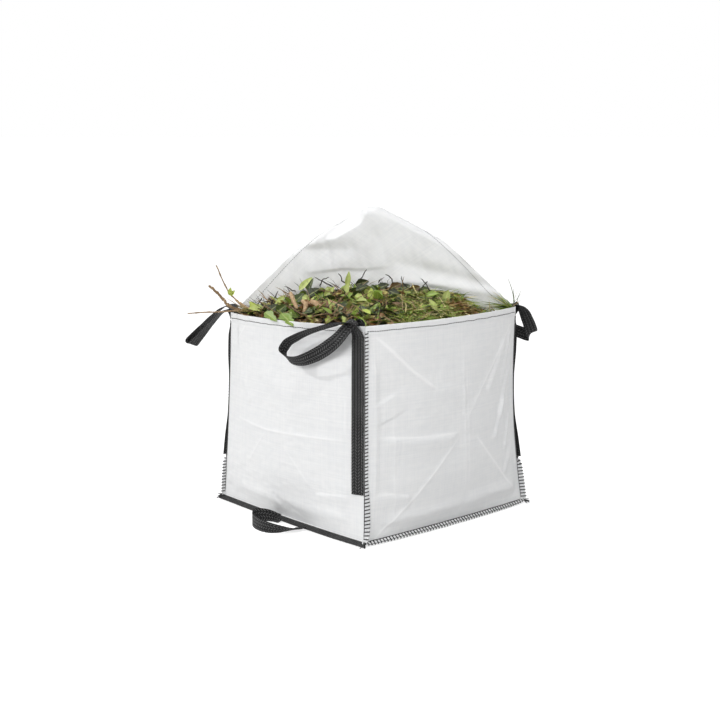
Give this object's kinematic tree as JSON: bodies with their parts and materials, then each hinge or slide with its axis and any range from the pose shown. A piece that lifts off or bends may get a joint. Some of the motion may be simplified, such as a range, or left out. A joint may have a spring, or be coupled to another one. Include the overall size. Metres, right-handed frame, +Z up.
{
  "type": "garden waste bag",
  "caption": "Square woven-plastic garden waste bag standing full of clippings, with webbing lift loops at its corners, a tipping handle at the base and a raised lid.",
  "frame": {"origin": "centre of the underside of the base, on the ground", "axes": "+Z up from the ground, -Y out of the front panel, which has the tipping handle at its base, and +X out of the right panel"},
  "size_m": [1.0614, 1.0108, 1.0457],
  "materials": {
    "cloth": "woven plastic tape, satin",
    "webbing": "woven herringbone, matt",
    "thread": "matt",
    "waste": "leaves, grass and moss",
    "branch": "bark"
  },
  "bodies": {
    "root": {"front_panel": "cloth", "right_panel": "cloth", "back_panel": "cloth", "left_panel": "cloth", "base_panel": "cloth", "lid": "cloth", "lift_loop_front_right": "webbing", "lift_loop_back_right": "webbing", "lift_loop_back_left": "webbing", "lift_loop_front_left": "webbing", "base_binding": "webbing", "tipping_handle": "webbing", "base_stitching_right": "thread", "base_stitching_back": "thread", "base_stitching_left": "thread", "corner_stitching_front_right": "thread", "corner_stitching_back_right": "thread", "corner_stitching_back_left": "thread", "corner_stitching_front_left": "thread", "rim_stitching_front": "thread", "rim_stitching_right": "thread", "rim_stitching_back": "thread", "rim_stitching_left": "thread", "lid_stitching_left": "thread", "lid_stitching_right": "thread", "garden_waste": "waste", "branch_thick": "branch", "branch_thin": "branch", "branch_long": "branch"}
  },
  "joints": []
}
